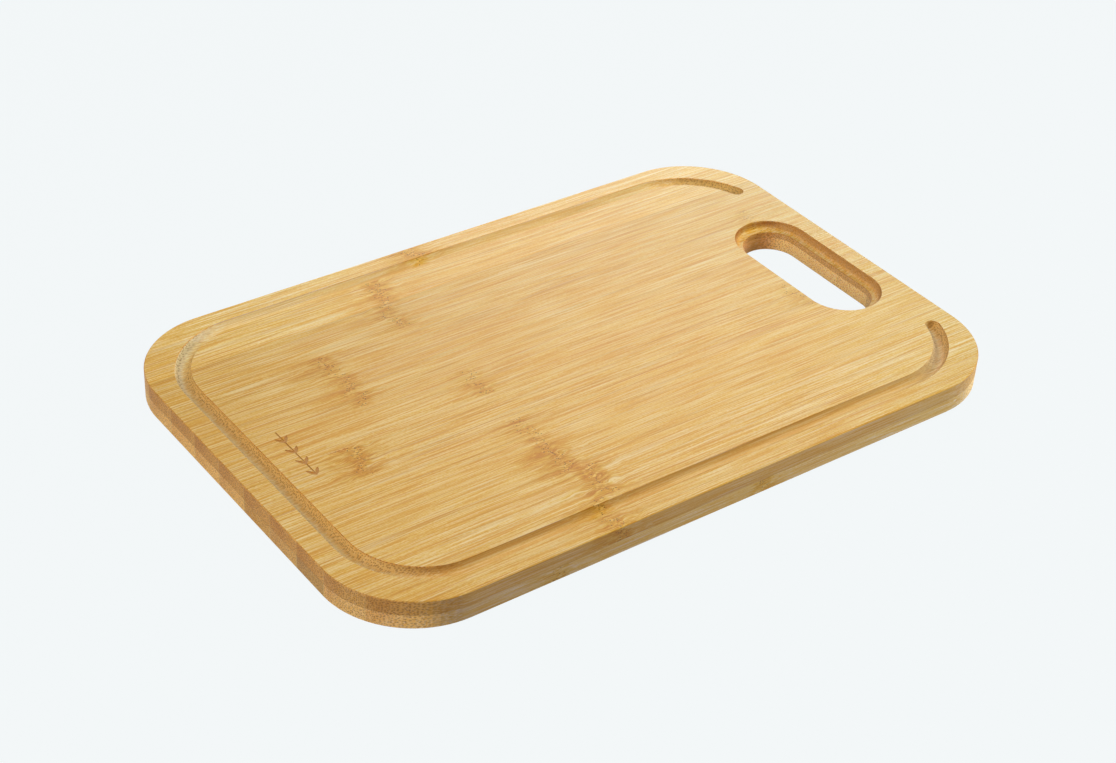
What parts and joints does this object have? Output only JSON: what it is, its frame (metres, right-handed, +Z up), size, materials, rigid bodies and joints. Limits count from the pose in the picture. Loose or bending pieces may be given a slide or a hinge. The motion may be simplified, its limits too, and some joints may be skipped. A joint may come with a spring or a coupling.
{
  "type": "cutting board",
  "caption": "Rectangular laminated bamboo cutting board with rounded corners, an open juice groove and a coved hand slot through one end.",
  "frame": {"origin": "middle of the bottom face, on the surface that the board lies on", "axes": "+X along the board's length to the end with the hand slot, +Y across its width, +Z up out of the cutting face"},
  "size_m": [0.38, 0.25, 0.0154],
  "materials": {
    "upper_ply": "sanded and oiled bamboo",
    "lower_ply": "sanded and oiled bamboo, a little paler"
  },
  "bodies": {
    "root": {"lower_grip_block_05": "lower_ply", "lower_grip_block_06": "lower_ply", "lower_grip_block_07": "lower_ply", "lower_strip_01": "lower_ply", "lower_strip_02": "lower_ply", "lower_strip_03": "lower_ply", "lower_strip_04": "lower_ply", "lower_strip_05": "lower_ply", "lower_strip_06": "lower_ply", "lower_strip_07": "lower_ply", "lower_strip_08": "lower_ply", "lower_strip_09": "lower_ply", "lower_strip_10": "lower_ply", "lower_strip_11": "lower_ply", "upper_grip_block_05": "upper_ply", "upper_grip_block_06": "upper_ply", "upper_grip_block_07": "upper_ply", "upper_strip_01": "upper_ply", "upper_strip_02": "upper_ply", "upper_strip_03": "upper_ply", "upper_strip_04": "upper_ply", "upper_strip_05": "upper_ply", "upper_strip_06": "upper_ply", "upper_strip_07": "upper_ply", "upper_strip_08": "upper_ply", "upper_strip_09": "upper_ply", "upper_strip_10": "upper_ply", "upper_strip_11": "upper_ply"}
  },
  "joints": []
}
